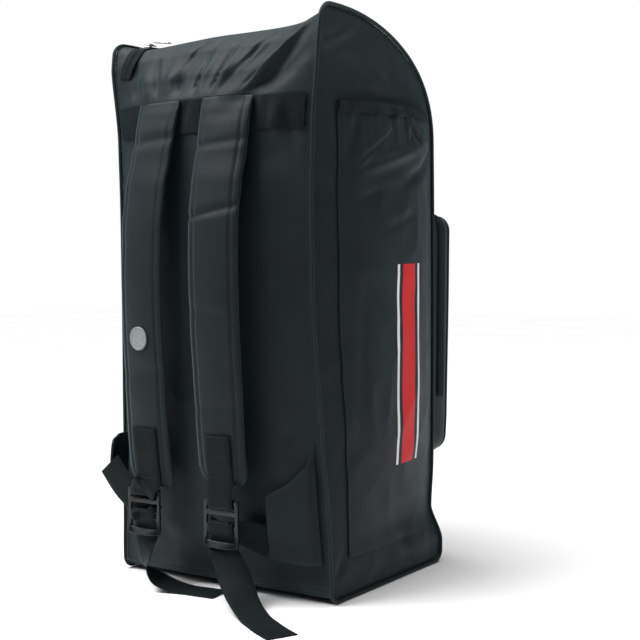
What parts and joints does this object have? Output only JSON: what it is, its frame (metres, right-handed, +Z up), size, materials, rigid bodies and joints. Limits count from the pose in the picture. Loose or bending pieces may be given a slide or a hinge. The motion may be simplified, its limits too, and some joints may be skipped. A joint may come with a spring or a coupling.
{
  "type": "cricket kit bag",
  "caption": "Tall soft kit bag with a rounded crown, padded shoulder straps on its back, ladder-lock buckles with loose tails, a side slip pocket and a boxy front pocket.",
  "frame": {"origin": "on the floor, in the middle of the flat underside of the base", "axes": "+Z up along the bag's height; -Y is the side with the shoulder straps, +Y the front pocket, +X the side with the slip pocket"},
  "size_m": [0.4583, 0.5929, 0.8794],
  "materials": {
    "nylon": "black coated nylon, slight sheen",
    "strap_cloth": "black nylon over foam",
    "piping": "cloth-covered cord",
    "webbing": "woven polyester webbing",
    "elastic": "ribbed elastic",
    "zip_tape": "zip tape with a coil",
    "zip_metal": "bright die-cast metal",
    "buckle_plastic": "glossy moulded plastic",
    "grey_patch": "plain rubbery patch"
  },
  "bodies": {
    "root": {"back_panel": "nylon", "lid_panel": "nylon", "front_panel": "nylon", "base_panel": "nylon", "side_panel_right": "nylon", "side_panel_left": "nylon", "side_piping_right": "piping", "side_piping_left": "piping", "yoke_band": "webbing", "lid_zip": "zip_tape", "zip_slider": "zip_metal", "zip_puller": "zip_metal", "side_pocket": "nylon", "side_pocket_elastic": "elastic", "front_pocket": "nylon", "front_pocket_piping": "piping", "front_pocket_zip": "zip_tape", "shoulder_strap_left": "strap_cloth", "shoulder_strap_right": "strap_cloth", "strap_web_left": "webbing", "strap_web_right": "webbing", "ladder_buckle_left": "buckle_plastic", "ladder_buckle_right": "buckle_plastic", "anchor_wing_left": "nylon", "anchor_wing_right": "nylon", "adjuster_web_left": "webbing", "adjuster_web_right": "webbing", "strap_badge": "grey_patch"}
  },
  "joints": []
}
